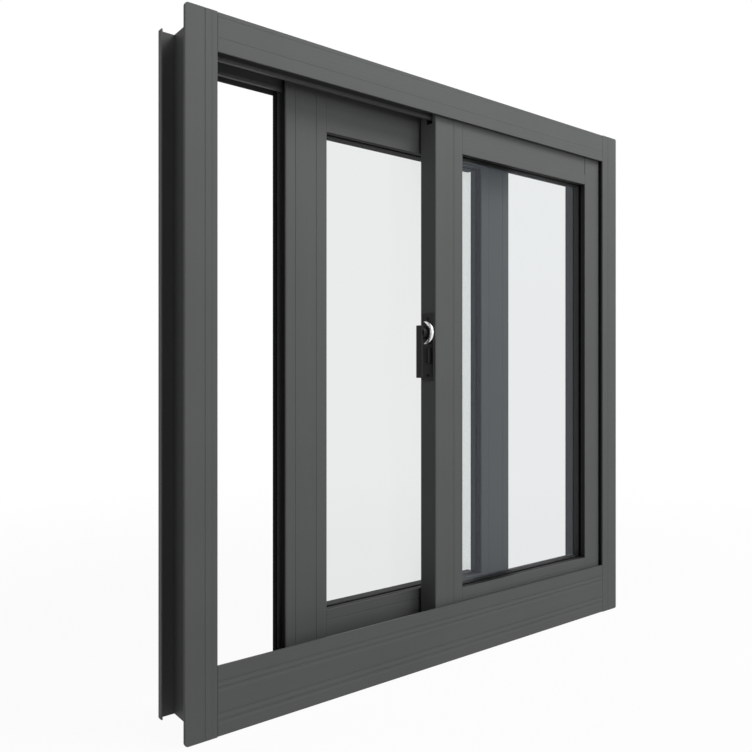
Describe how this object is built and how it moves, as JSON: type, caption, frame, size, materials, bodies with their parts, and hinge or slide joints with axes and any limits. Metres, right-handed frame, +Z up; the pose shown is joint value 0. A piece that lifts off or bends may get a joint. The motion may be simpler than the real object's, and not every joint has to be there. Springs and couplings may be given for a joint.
{
  "type": "horizontal sliding window",
  "caption": "Horizontal sliding window: dark aluminium frame whose roller tracks carry glazed sashes past each other, with a crescent latch on the meeting stile.",
  "frame": {"origin": "under the middle of the frame, on the plane that the jambs stand on", "axes": "+X along the window to the right seen from the room, +Y from the room to the outside, +Z up"},
  "size_m": [0.9776, 0.108, 1],
  "materials": {
    "frame_coat": "dark grey powder coat, satin",
    "sash_coat": "dark grey powder coat, satin",
    "glass": "clear, faint green",
    "gasket": "matt black",
    "latch_black": "satin black",
    "latch_cam": "bright",
    "roller_wheel": "moulded nylon",
    "roller_carriage": "moulded nylon"
  },
  "bodies": {
    "frame": {"left_jamb": "frame_coat", "right_jamb": "frame_coat", "head": "frame_coat", "sill": "frame_coat"},
    "front_sash": {"front_left_stile": "sash_coat", "front_right_stile": "sash_coat", "front_top_rail": "sash_coat", "front_bottom_rail": "sash_coat", "front_glass": "glass", "front_room_gasket": "gasket", "front_outer_gasket": "gasket", "front_left_wheel": "roller_wheel", "front_left_carriage": "roller_carriage", "front_right_wheel": "roller_wheel", "front_right_carriage": "roller_carriage", "latch_plate": "latch_black"},
    "rear_sash": {"rear_left_stile": "sash_coat", "rear_right_stile": "sash_coat", "rear_top_rail": "sash_coat", "rear_bottom_rail": "sash_coat", "rear_glass": "glass", "rear_room_gasket": "gasket", "rear_outer_gasket": "gasket", "rear_left_wheel": "roller_wheel", "rear_left_carriage": "roller_carriage", "rear_right_wheel": "roller_wheel", "rear_right_carriage": "roller_carriage"},
    "latch": {"latch_lever": "latch_black", "latch_cam": "latch_cam"}
  },
  "joints": [
    {"name": "front_sash_slide", "type": "slide", "parent": "frame", "child": "front_sash", "axis": [1, 0, 0], "range_m": [-0.3806, 0]},
    {"name": "rear_sash_slide", "type": "slide", "parent": "frame", "child": "rear_sash", "axis": [1, 0, 0], "range_m": [-0.1409, 0.2273]},
    {"name": "latch_turn", "type": "hinge", "parent": "front_sash", "child": "latch", "pos_m": [-0.0322, -0.026, 0.5715], "axis": [-1, 0, 0], "range_deg": [0, 180]}
  ]
}
